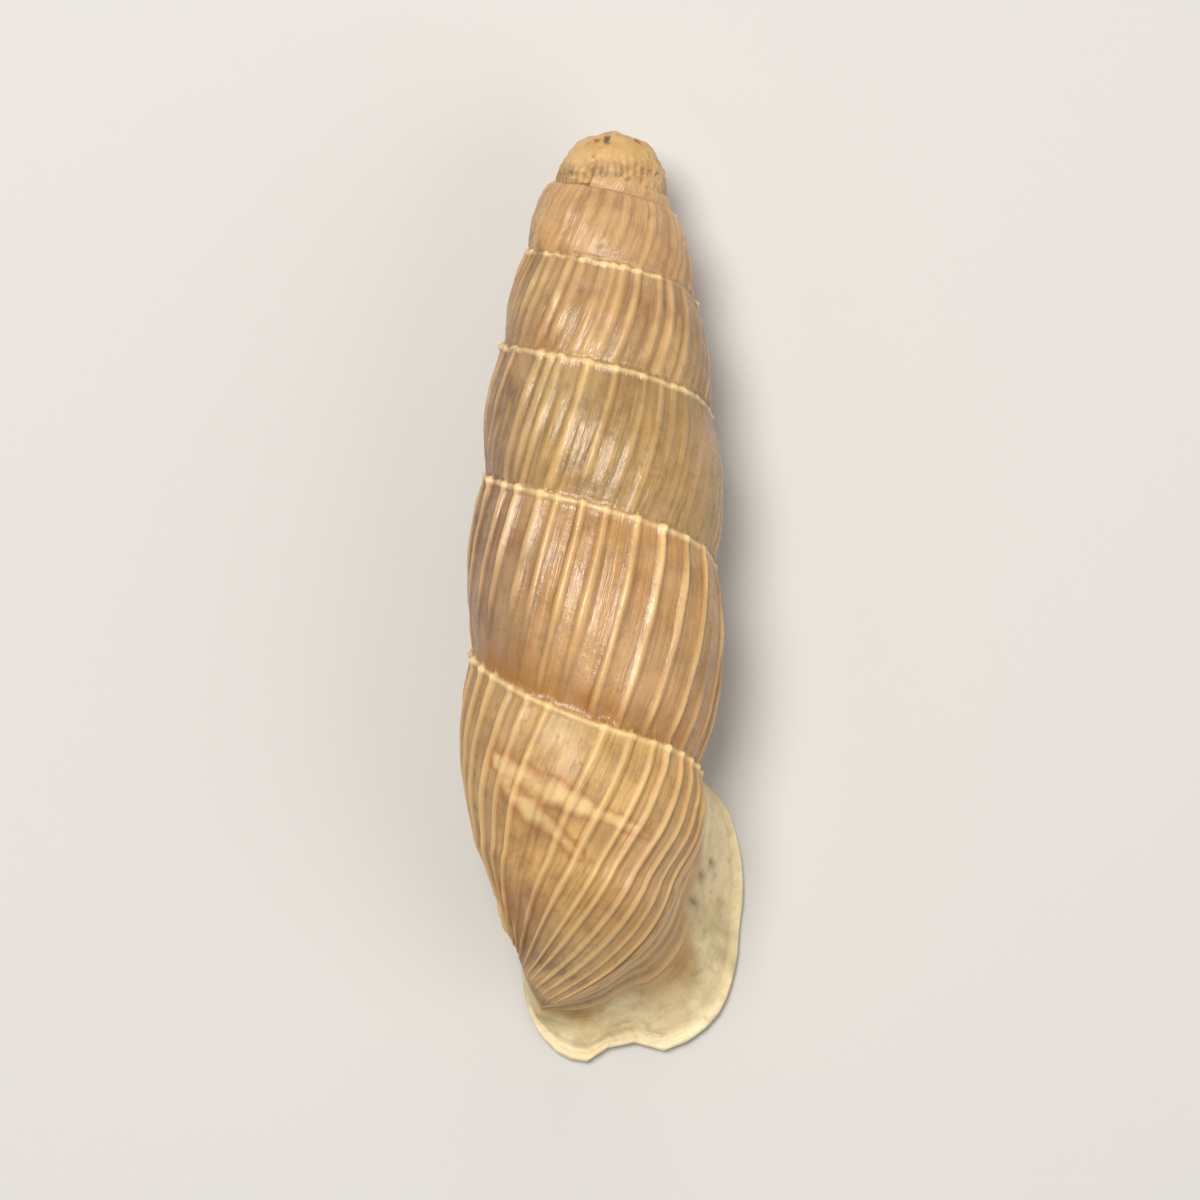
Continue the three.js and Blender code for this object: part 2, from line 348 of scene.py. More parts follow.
@dataclass
class GrownShell:
    """The shell from the first whole whorl to the lip, one closed surface."""

    coil: Coil = field(default_factory=Coil)
    steps_per_turn: int = 440
    lean: int = 22
    last_lean: float = 0.045
    base_lean: float = 0.07
    axis_points: int = 24
    wall_stations: tuple[float, ...] = (
        0, .008, .018, .03, .044, .06, .08, .11, .145, .185, .225, .265, .305, .345, .385, .425,
        .465, .505, .545, .585, .625, .665, .705, .745, .785, .825, .865, .905, .945, .975, 1)
    base_stations: tuple[float, ...] = (
        0, .05, .11, .18, .25, .32, .39, .46, .53, .6, .67, .74, .81, .87, .93, .97, 1)
    rim: tuple[tuple[float, float], ...] = (
        (3.15, 15.65), (4.15, 16.7), (4.52, 18.3), (4.52, 19.9), (4.42, 20.95), (4.02, 22.1),
        (3.0, 23.02), (1.05, 23.5), (-0.2, 23.42), (-1.1, 22.4), (-1.4, 21.0), (-1.35, 19.6),
        (-1.0, 18.0), (-0.2, 16.6), (1.2, 15.75), (2.2, 15.5))
    rim_centre: tuple[float, float] = (1.5, 19.5)
    rim_depth: float = 2.62
    tilt: float = LYING_TILT
    neck_plan: tuple[tuple[float, float, float, float], ...] = (
        (0.0, 0.0, 0.985, 0.27), (0.03, 0.16, 0.985, 0.27), (0.10, 0.38, 0.985, 0.27),
        (0.22, 0.60, 0.985, 0.27), (0.40, 0.78, 0.985, 0.27), (0.62, 0.90, 0.985, 0.27),
        (0.84, 0.97, 0.985, 0.27), (1.0, 1.0, 0.985, 0.27), (1.0, 1.0, 1.0, 0.13),
        (1.0, 1.0, 0.975, 0.0))
    throat_plan: tuple[tuple[float, float, float, float], ...] = (
        (1.0, 1.0, 0.975, 0.0), (1.0, 1.0, 0.955, 0.0), (0.95, 1.0, 0.94, 0.03),
        (0.80, 0.995, 0.94, 0.07), (0.60, 0.975, 0.94, 0.12), (0.42, 0.93, 0.94, 0.15),
        (0.26, 0.83, 0.94, 0.2), (0.13, 0.66, 0.94, 0.2), (0.05, 0.45, 0.94, 0.2),
        (0.01, 0.2, 0.94, 0.2), (0.0, 0.0, 0.94, 0.2))
    lip_pits: tuple[tuple[float, float, float], ...] = (
        (0.135, 0.42, 0.09), (0.16, 0.36, 0.11), (0.195, 0.38, 0.10), (0.185, 0.6, 0.05),
        (0.225, 0.45, 0.06), (0.12, 0.62, 0.05), (0.33, 0.5, 0.05))
    fold_lines: tuple[tuple[tuple[float, float], tuple[float, float], float], ...] = (
        ((0.745, 0.48), (0.30, 0.70), 0.27), ((0.715, 0.60), (0.49, 0.93), 0.26))
    # Painted shade: dark patches between the folds of the last whorl.
    painted_shade_patches: tuple[tuple[float, float, float, float], ...] = (
        (0.56, 0.64, 0.34, 0.8), (0.62, 0.84, 0.32, 0.7), (0.42, 0.80, 0.40, 0.45),
        (0.50, 0.52, 0.30, 0.35), (0.70, 0.70, 0.25, 0.5))
    lip_stains: tuple[tuple[float, float, float], ...] = (
        (0.205, 0.6, 0.42), (0.235, 0.72, 0.35), (0.60, 0.8, 0.4), (0.55, 0.6, 0.3), (0.30, 0.6, 0.3))
    neck_rows: int = 64
    throat_rows: int = 40
    hollow_rows: int = 36
    hollow_half_turns: float = 1.25
    wall_thickness: float = 0.27
    roof_thickness: float = 0.08
    fold_radius: float = 3.3

    def __post_init__(self) -> None:
        """Set out the rows of growth, the ribs and the mouth's own columns."""
        self.step = 2 / self.steps_per_turn
        self.rows = round(self.coil.first / self.step)
        self.open_from = self.rows - self.steps_per_turn + self.lean
        self.skew = self.lean * self.step
        self.ribs = Ribs(self.coil)
        self.surface = Surface()
        spans = self.axis_points - 1
        self.columns = [("wall", v, 0.2 * v) for v in self.wall_stations]
        self.columns += [("base", b, 0.2 + 0.355 * b) for b in self.base_stations[1:]]
        self.columns += [("axis", q, 0.555 + 0.29 * q / spans) for q in range(1, spans)]
        self.columns += [("roof", b, 1 - 0.155 * b) for b in reversed(self.base_stations[1:])]

    def growth_at(self, row: int) -> float:
        """Return the half turn of a row of growth."""
        return self.coil.first - row * self.step

    def wall_turn(self, k: float, v: float) -> float:
        """Return where the line of growth that leaves the suture at k crosses the wall."""
        lean = self.skew + self.last_lean * smooth(k, 1.5, 0.9)
        return k + lean * v * (0.75 + 0.25 * v)

    def base_turn(self, k: float, b: float) -> float:
        """Return where the same line of growth crosses the base."""
        return self.wall_turn(k, 1.0) + self.base_lean * b * (2 - b)

    def axis_point(self, group: float, k: float = 0.0) -> Vector:
        """Return a point of the path that the base's rows end on, counted from half turn k."""
        share = group / (self.axis_points - 1)
        return self.coil.inner_end(k + share * self.growth_at(self.open_from))

    def axis_group(self, row: int) -> int:
        """Return which point of the axis a row of the base ends on."""
        share = (self.rows - row) / (self.rows - self.open_from + 1)
        return min(self.axis_points - 1, int(share * self.axis_points))

    def wall_point(self, k: float, v: float) -> Vector:
        """Return the smooth outer wall on the line of growth k."""
        turn = self.wall_turn(k, v)
        return self.coil.place(self.coil.wall(turn, v), turn)

    def base_point(self, k: float, b: float) -> Vector:
        """Return the smooth base on the line of growth k."""
        return self.coil.base(self.base_turn(k, b), b, self.coil.inner_end(k))

    @staticmethod
    def rib_place(k: float, v: float) -> float:
        """Return how far along its length a rib is; the last whorl's ribs don't fade."""
        return blend(v, min(v, 0.5), smooth(k, 1.7, 1.3))

    def wall_marks(self, row: int, k: float, v: float) -> dict[Mark, float]:
        """Return the ribs, the suture's thread and the folds at a point of the wall."""
        near = self.near[row]
        crest = self.ribs.crest(near, self.rib_place(k, v))
        turn = self.wall_turn(k, v)
        height = self.coil.wall_end(turn)[1] - self.coil.suture(turn)[1]
        below, above = v * height, (1 - v) * height
        size = blend(1.0, 0.55, smooth(k, 4, 9))
        wobble = 0.5 + 0.5 * drift(k * 55, 3.0)
        middle = 0.11 * size + 0.045 * drift(k * 26, 1.0) * smooth(k, 1.5, 5)
        broken = 1 - 0.6 * smooth(k, 4, 7) * smooth(drift(k * 15, 6.0), -0.1, 0.4)
        thread = bell(below - middle, 0.085 * size) * (0.6 + 0.4 * wobble) * broken
        papilla = bell(below - 0.15 * size, 0.10 * size) * crest * smooth(drift(k * 21, 8.0), -0.5, 0.3)
        strength = smooth(k, 8.6, 7.8)
        groove = self.ribs.relief(k) * (1 - bell(below, 0.16) * 0.6)
        tuck = smooth(above, 0.0, 0.25) if k > self.growth_at(self.open_from) else 1.0
        relief = -groove * (1 - crest) * (0.35 + 0.65 * tuck)
        relief += strength * size * (0.05 * thread + 0.10 * papilla)
        relief += 0.018 * drift(k * 9, v * 5) + 0.010 * drift(k * 90, v * 2)
        fold, dirt_and_painted_shade = self.folds(turn, v, height)
        stain = bell(above, 0.46) * smooth(k, 2.0, 2.15) * smooth(k, 3.4, 2.9)
        stain *= 0.75 + 0.25 * drift(k * 12, 4.0)
        stain = max(stain, 0.6 * bell(below - 0.3, 0.28) * smooth(k, 8.4, 8.8) * (0.6 + drift(k * 9, 7.0)))
        return {
            Mark.CREST: crest, Mark.RELIEF: relief,
            Mark.THREAD: min(1.0, strength * (0.75 * thread + papilla)),
            Mark.FOLD: fold, Mark.DIRT_AND_PAINTED_SHADE: dirt_and_painted_shade, Mark.STAIN: stain,
        }

    def folds(self, turn: float, v: float, height: float) -> tuple[float, float]:
        """Return how strongly the folds inside the last whorl show through, and the painted shade patches
        between them.
        """
        if not 0.05 < turn < 1.05:
            return 0.0, 0.0
        round_whorl = math.pi * self.fold_radius
        x, y = turn * round_whorl, v * height
        fold = 0.0
        for (k0, v0), (k1, v1), width in self.fold_lines:
            ax, ay, bx, by = k0 * round_whorl, v0 * height, k1 * round_whorl, v1 * height
            run = (bx - ax) ** 2 + (by - ay) ** 2
            t = min(1.0, max(0.0, ((x - ax) * (bx - ax) + (y - ay) * (by - ay)) / run))
            gap = math.hypot(x - blend(ax, bx, t), y - blend(ay, by, t))
            wide = width * (0.55 + 0.6 * bell(t - 0.3, 0.35)) * (1 + 0.25 * drift(x * 3, y * 3))
            strength = (1 - 0.5 * smooth(t, 0.4, 1.0)) * (0.95 + 0.16 * drift(x * 2.5, y * 3, 3.0))
            fold = max(fold, bell(gap, wide) * strength)
        # Painted shade: dark patches between the folds.
        dirt_and_painted_shade = 0.0
        for k0, v0, wide, strength in self.painted_shade_patches:
            gap = math.hypot(x - k0 * round_whorl, y - v0 * height)
            dirt_and_painted_shade = max(dirt_and_painted_shade, strength * bell(gap, wide))
        return fold, dirt_and_painted_shade

    def lay_wall(self) -> None:
        """Lay the outer wall of every whorl, each lower edge welded to the next suture."""
        self.near = [self.ribs.nearest(self.growth_at(row)) for row in range(self.rows + 1)]

        def spot(row: int, column: int) -> Spot:
            k, v = self.growth_at(row), self.wall_stations[column]
            point = self.coil.place(self.coil.suture(k), k) if v == 0 else self.wall_point(k, v)
            if v == 1:
                after = self.growth_at(row - self.lean + self.steps_per_turn)
                point = self.coil.place(self.coil.suture(after), after) if after >= -1e-9 else point
            return Spot(point, k / self.coil.first, v, self.wall_marks(row, k, v))

        self.surface.lay(self.rows, len(self.wall_stations) - 1, spot)

    def lay_base(self) -> None:
        """Lay the base of the last whorl, from the wall's edge to the axis."""

        def spot(row: int, column: int) -> Spot:
            row += self.open_from
            k, b = self.growth_at(row), self.base_stations[column]
            crest = self.ribs.crest(self.near[row], self.rib_place(k, 1.0))
            relief = -self.ribs.relief(k) * (1 - crest) * smooth(b, 1.0, 0.88)
            keel = smooth(b, 0.2, 0.6) * smooth(k, 0.3, 0.5) * smooth(k, 1.5, 1.1)
            lumps = 0.5 + 0.5 * drift(k * 16, b * 6, 2.0)
            relief += keel * (0.12 * crest * lumps + 0.10 * lumps * bell(b - 0.82, 0.12))
            # The keel is painted paler on its lumps: partly its own pale colour, partly painted light that
            # brightens the keel where it turns away from the lamps.
            marks = {Mark.CREST: crest, Mark.RELIEF: relief,
                     Mark.FOLD: keel * lumps * (0.5 + 0.6 * crest),
                     Mark.STAIN: 0.6 * keel * (1 - crest) * (1 - lumps)}
            if b == 0:
                marks = self.wall_marks(row, k, 1.0)
            return Spot(self.edge_point(row, k, b), k / self.coil.first, 1 + b, marks)

        self.surface.lay(self.rows - self.open_from, len(self.base_stations) - 1, spot)

    def edge_point(self, row: int, k: float, b: float) -> Vector:
        """Return a point of the base, whose upper edge is the wall's lower one."""
        if b >= 1:
            return self.axis_point(self.axis_group(row))
        if b > 0:
            return self.base_point(k, b)
        if row == self.open_from:
            return self.coil.place(self.coil.suture(self.growth_at(self.rows)), 0.0)
        return self.wall_point(k, 1.0)

    def ring_point(self, k: float, kind: str, at: float) -> Vector:
        """Return a point of the ring that the tube makes at half turn k.

        Args:
            k: The half turn.
            kind: Which side of the ring: its wall, base, axis or roof.
            at: How far along that side.

        Returns:
            The point on the outer surface.
        """
        if kind == "wall":
            return self.wall_point(k, at)
        if kind == "base":
            return self.base_point(k, at)
        if kind == "axis":
            return self.axis_point(at, k)
        return self.base_point(k + self.growth_at(self.open_from), at)

    def rim_point(self, share: float, scale: float, lift: float) -> Vector:
        """Return a point of the lip's outline, drawn in by scale and raised by lift."""
        x, drop = spline(self.rim, share, closed=True)
        x = self.rim_centre[0] + (x - self.rim_centre[0]) * scale
        drop = self.rim_centre[1] + (drop - self.rim_centre[1]) * scale
        chip = smooth(share, 0.448, 0.438) * smooth(share, 0.392, 0.408) * (1 + 0.3 * drift(share * 90))
        drop -= 0.36 * chip * smooth(scale, 0.8, 1.0)
        wave = 0.03 * drift(share * 14, 5.0) * smooth(scale, 0.8, 1.0)
        return Vector((x + wave, -drop + wave, -self.rim_depth - drop * math.tan(self.tilt) + lift))

    def between(self, start: Vector, plan: tuple[float, ...], share: float) -> Vector:
        """Return a point between the tube's ring and the lip's outline.

        Args:
            start: The point of the ring.
            plan: How far out and down the point is, the outline's scale and its lift.
            share: Where on the outline the point's line ends.

        Returns:
            The point.
        """
        out, down, scale, lift = plan
        end = self.rim_point(share, scale, lift)
        return Vector((blend(start.x, end.x, out), blend(start.y, end.y, out),
                       blend(start.z, end.z, down)))

    def lay_neck(self) -> None:
        """Lay the neck and the outer side of the lip."""
        draw = random.Random(5)
        ribs = []
        at = 0.03
        while at < 0.62:
            ribs.append((at, draw.uniform(0.6, 1.0)))
            at += draw.uniform(0.055, 0.1)

        def spot(row: int, column: int) -> Spot:
            kind, place, share = self.columns[column % len(self.columns)]
            t = row / self.neck_rows
            start = self.ring_point(self.growth_at(self.rows), kind, place)
            point = self.between(start, spline(self.neck_plan, t), share)
            rib = max(strength * bell(t - where, 0.017) for where, strength in ribs)
            white_from = 0.14 + 0.28 * smooth(share, 0.10, 0.30) - 0.08 * smooth(share, 0.5, 0.6)
            rib *= smooth(t, white_from + 0.10, white_from - 0.04)
            outer = smooth(share, 0.75, 0.6) + smooth(share, 0.98, 1.0)
            lip = smooth(t + 0.05 * drift(share * 18, 2.0), white_from, white_from + 0.14)
            relief = -0.12 * (1 - rib) * smooth(t, white_from + 0.12, white_from) * outer
            relief += 0.05 * bell(t - 0.80, 0.03) - 0.06 * bell(t - 0.70, 0.04)
            relief += lip * (0.02 * drift(t * 26, share * 9) + 0.012 * drift(t * 7, share * 60))
            pit, stain = 0.0, 0.0
            for where, grown, wide in self.lip_pits:
                gap = math.hypot((share - where) * 16, (t - grown) * 2.2)
                pit = max(pit, bell(gap + 0.02 * drift(share * 90, t * 20), wide))
            for where, grown, wide in self.lip_stains:
                gap = math.hypot((share - where) * 16, (t - grown) * 2.2)
                stain = max(stain, bell(gap, wide) * (0.75 + 0.35 * drift(share * 70, t * 14)))
            relief -= 0.07 * pit
            if row == 0:
                relief = self.start_relief(kind, place)
            marks = {Mark.CREST: rib * outer * (1 - lip), Mark.RELIEF: relief,
                     Mark.LIP: lip, Mark.DIRT_AND_PAINTED_SHADE: pit, Mark.STAIN: stain}
            return Spot(point, -0.04 * t, share * 2, marks)

        self.surface.lay(self.neck_rows, len(self.columns), spot)

    def start_relief(self, kind: str, place: float) -> float:
        """Return the relief of the row shared by the wall or base and the neck."""
        if kind == "wall":
            return self.wall_marks(self.rows, self.growth_at(self.rows), place)[Mark.RELIEF]
        return 0.0

    def lay_throat(self) -> None:
        """Lay the inner face of the lip and the throat behind it."""

        def spot(row: int, column: int) -> Spot:
            kind, place, share = self.columns[column % len(self.columns)]
            t = row / self.throat_rows
            start = self.hollow_point(0.0, kind, place)
            point = self.between(start, spline(self.throat_plan, t), share)
            relief = 0.03 * bell(t - 0.12, 0.04) + 0.01 * drift(share * 30, t * 8)
            marks = {Mark.RELIEF: relief, Mark.LIP: smooth(t, 0.72, 0.5),
                     Mark.INSIDE: smooth(t, 0.5, 0.75)}
            return Spot(point, -0.05, share * 2, marks)

        self.surface.lay(self.throat_rows, len(self.columns), spot)

    def hollow_point(self, k: float, kind: str, place: float) -> Vector:
        """Return the hollow's surface a half turn k in from the mouth."""
        outer = self.ring_point(k, kind, place)
        middle = (self.wall_point(k, 0.8) + self.axis_point(self.axis_points / 2, k)) / 2
        inward = (middle - outer).normalized()
        axial = {"wall": smooth(place, 0.0, 0.3), "base": 1.0 - place}.get(kind, 0.0)
        inward += Vector((-outer.x, 0.0, -outer.z)).normalized() * axial
        thickness = self.roof_thickness if kind == "roof" else self.wall_thickness
        return outer + inward.normalized() * thickness

    def lay_hollow(self) -> None:
        """Lay the hollow of the last whorl, as far in as can be seen."""

        def spot(row: int, column: int) -> Spot:
            kind, place, share = self.columns[column % len(self.columns)]
            k = self.hollow_half_turns * row / self.hollow_rows
            return Spot(self.hollow_point(k, kind, place), -0.05, share * 2,
                        {Mark.INSIDE: 1.0, Mark.RELIEF: 0.0})

        self.surface.lay(self.hollow_rows, len(self.columns), spot)

    def build(self, place: Matrix) -> bpy.types.Object:
        """Lay every part of the shell and return it as one piece.

        Args:
            place: Takes the shell's own millimetres to where it lies.

        Returns:
            The finished piece.
        """
        self.lay_wall()
        self.lay_base()
        self.lay_neck()
        self.lay_throat()
        self.lay_hollow()
        return self.surface.finish("grown_shell", place)


@dataclass
class TipPlug:
    """The chalky plug that closed the spire where its tip broke away."""

    coil: Coil = field(default_factory=Coil)
    profile: tuple[tuple[float, float], ...] = (
        (0.0, -1.56), (0.16, -1.53), (0.42, -1.40), (0.72, -1.31), (0.93, -1.22), (1.09, -1.06),
        (1.22, -0.86), (1.31, -0.66), (1.39, -0.45), (1.44, -0.2), (1.46, 0.0), (1.44, 0.25),
        (1.30, 0.5), (0.9, 0.7), (0.0, 0.72))
    aside: float = 0.12
    around: int = 160
    along: int = 64

    def build(self, place: Matrix) -> bpy.types.Object:
        """Return the plug as one closed piece.

        Args:
            place: Takes the shell's own millimetres to where it lies.

        Returns:
            The finished piece.
        """
        surface = Surface()

        def spot(row: int, column: int) -> Spot:
            angle = math.tau * (column % self.around) / self.around
            t = row / self.along
            radius, drop = spline(self.profile, t)
            radius = max(0.0, radius)
            if row in (0, self.along):
                radius = 0.0
            x, z = radius * math.cos(angle), radius * math.sin(angle)
            wear = drift(x * 1.5, z * 1.5, drop * 2)
            fine = drift(x * 6, z * 6, drop * 7)
            edge = bell(t - 0.37, 0.08)
            drop += edge * (0.07 * wear + 0.03 * fine)
            radius *= 1 + 0.025 * wear + 0.012 * fine
            ribs = smooth(t, 0.42, 0.55) * (0.5 + 0.5 * math.sin(angle * 44 + 3 * wear))
            pit = smooth(drift(x * 3.5, z * 3.5, drop * 3), 0.45, 0.7)
            point = Vector((self.aside + radius * math.cos(angle), -drop, radius * math.sin(angle)))
            inside = pit * smooth(t, 0.42, 0.3)
            # Painted shade in the crevice where the plug meets the first whorl.
            crevice_painted_shade = smooth(t, 0.52, 0.64) * smooth(wear + fine, -0.5, 0.5)
            marks = {Mark.RELIEF: (0.03 * ribs - 0.07 * inside + 0.02 * fine), Mark.CREST: 0.35 * ribs,
                     Mark.DIRT_AND_PAINTED_SHADE: max(inside, 0.6 * crevice_painted_shade)}
            return Spot(point, 1.0, t, marks)

        surface.lay(self.along, self.around, spot)
        return surface.finish("tip_plug", place)


def paint(red: int, green: int, blue: int) -> tuple[float, float, float, float]:
    """Return a colour given in display values from 0 to 255 as the linear one a shader wants."""
    def linear(value: int) -> float:
        share = value / 255
        return share / 12.92 if share <= 0.04045 else ((share + 0.055) / 1.055) ** 2.4
    return linear(red), linear(green), linear(blue), 1.0


Socket = bpy.types.NodeSocket


class Board:
    """A node tree that is wired with short calls."""

    def __init__(self, tree: bpy.types.NodeTree) -> None:
        """Take hold of a tree.

        Args:
            tree: The material's or group's own tree.
        """
        self.tree = tree

    def node(self, kind: str, **settings: object) -> bpy.types.Node:
        """Add a node and set its properties."""
        made = self.tree.nodes.new(kind)
        for name, value in settings.items():
            setattr(made, name, value)
        return made

    def feed(self, socket: Socket, value: object) -> None:
        """Link a socket to an input, or set the input to a plain value."""
        if isinstance(value, Socket):
            self.tree.links.new(value, socket)
        else:
            socket.default_value = value

    def sum(self, kind: str, a: object, b: object = 0.0, clamp: bool = False) -> Socket:
        """Return the result of one sum on two numbers."""
        made = self.node("ShaderNodeMath", operation=kind, use_clamp=clamp)
        self.feed(made.inputs[0], a)
        self.feed(made.inputs[1], b)
        return made.outputs[0]

    def mix(self, share: object, a: object, b: object, kind: str = "MIX") -> Socket:
        """Return two colours mixed by a share."""
        made = self.node("ShaderNodeMix", data_type="RGBA", blend_type=kind, clamp_factor=True)
        self.feed(made.inputs[0], share)
        self.feed(made.inputs[6], a)
        self.feed(made.inputs[7], b)
        return made.outputs[2]

    def ramp(self, share: Socket, stops: Sequence[tuple[float, object]]) -> Socket:
        """Return a colour read off a ramp; a stop may be a grey number or a colour."""
        made = self.node("ShaderNodeValToRGB")
        marks = made.color_ramp.elements
        while len(marks) < len(stops):
            marks.new(0.5)
        for mark, (at, shade) in zip(marks, stops):
            mark.position = at
            mark.color = shade if isinstance(shade, tuple) else (shade, shade, shade, 1.0)
        self.feed(made.inputs[0], share)
        return made.outputs[0]

    def noise(self, where: object, scale: float, detail: float = 3.0, rough: float = 0.55,
              twist: float = 0.0) -> Socket:
        """Return a noise pattern from 0 to 1."""
        made = self.node("ShaderNodeTexNoise")
        if where is not None:
            self.feed(made.inputs["Vector"], where)
        made.inputs["Scale"].default_value = scale
        made.inputs["Detail"].default_value = detail
        made.inputs["Roughness"].default_value = rough
        made.inputs["Distortion"].default_value = twist
        return made.outputs[0]

    def mark(self, which: Mark) -> Socket:
        """Return one of the marks carried by the surface."""
        return self.node("ShaderNodeAttribute", attribute_name=which.value).outputs["Fac"]

    def group(self, tree: bpy.types.NodeTree, **values: object) -> bpy.types.Node:
        """Add a shared group with its own values."""
        made = self.node("ShaderNodeGroup", node_tree=tree)
        for name, value in values.items():
            self.feed(made.inputs[name], value)
        return made


def new_group(name: str, inputs: Sequence[tuple[str, str, object]],
              outputs: Sequence[tuple[str, str]]) -> tuple[Board, bpy.types.Node, bpy.types.Node]:
    """Make an empty shared group.

    Args:
        name: The group's name.
        inputs: Name, socket type and value of each input.
        outputs: Name and socket type of each output.

    Returns:
        Its board, its input node and its output node.
    """
    tree = bpy.data.node_groups.new(name, "ShaderNodeTree")
    for title, kind, value in inputs:
        socket = tree.interface.new_socket(title, in_out="INPUT", socket_type=kind)
        socket.default_value = value
    for title, kind in outputs:
        tree.interface.new_socket(title, in_out="OUTPUT", socket_type=kind)
    board = Board(tree)
    return board, board.node("NodeGroupInput"), board.node("NodeGroupOutput")


def weathering_group() -> bpy.types.NodeTree:
    """Return the group for cloudy colour, worn specks and pits, on object coordinates."""
    board, start, end = new_group(
        "Weathering",
        [("Colour", "NodeSocketColor", (1, 1, 1, 1)), ("Cloud", "NodeSocketColor", (1, 1, 1, 1)),
         ("Speck", "NodeSocketColor", (1, 1, 1, 1)), ("Clouding", "NodeSocketFloat", 0.5),
         ("Specking", "NodeSocketFloat", 0.5)],
        [("Colour", "NodeSocketColor"), ("Height", "NodeSocketFloat"),
         ("Gloss Loss", "NodeSocketFloat")])
    where = board.node("ShaderNodeTexCoord").outputs["Object"]
    cloud = board.ramp(board.noise(where, 340, 4, 0.6, 0.6), [(0.42, 0.0), (0.66, 1.0)])
    speck = board.ramp(board.noise(where, 2600, 3, 0.6), [(0.60, 0.0), (0.72, 1.0)])
    grain = board.noise(where, 5200, 3, 0.6)
    clouded = board.mix(board.sum("MULTIPLY", cloud, start.outputs["Clouding"]),
                        start.outputs["Colour"], start.outputs["Cloud"])
    specked = board.mix(board.sum("MULTIPLY", speck, start.outputs["Specking"]),
                        clouded, start.outputs["Speck"])
    board.feed(end.inputs["Colour"], specked)
    board.feed(end.inputs["Height"], board.sum("SUBTRACT", grain, board.sum(
        "MULTIPLY", speck, start.outputs["Specking"])))
    board.feed(end.inputs["Gloss Loss"], board.sum("MULTIPLY", speck, 0.3))
    return board.tree


def striae_group() -> bpy.types.NodeTree:
    """Return the group for the fine lines of growth between and on the ribs."""
    board, start, end = new_group(
        "Striae",
        [("Spacing", "NodeSocketFloat", 900.0), ("Waver", "NodeSocketFloat", 2.5)],
        [("Lines", "NodeSocketFloat"), ("Broad Lines", "NodeSocketFloat")])
    way = board.node("ShaderNodeUVMap", uv_map="Growth").outputs[0]
    parts = board.node("ShaderNodeSeparateXYZ")
    board.feed(parts.inputs[0], way)
    for output, factor in (("Lines", 1.0), ("Broad Lines", 0.22)):
        spot = board.node("ShaderNodeCombineXYZ")
        spacing = board.sum("MULTIPLY", start.outputs["Spacing"], factor)
        board.feed(spot.inputs[0], board.sum("MULTIPLY", parts.outputs[0], spacing))
        board.feed(spot.inputs[1], board.sum("MULTIPLY", parts.outputs[1], start.outputs["Waver"]))
        board.feed(end.inputs[output], board.noise(spot.outputs[0], 1.0, 3, 0.6))
    return board.tree


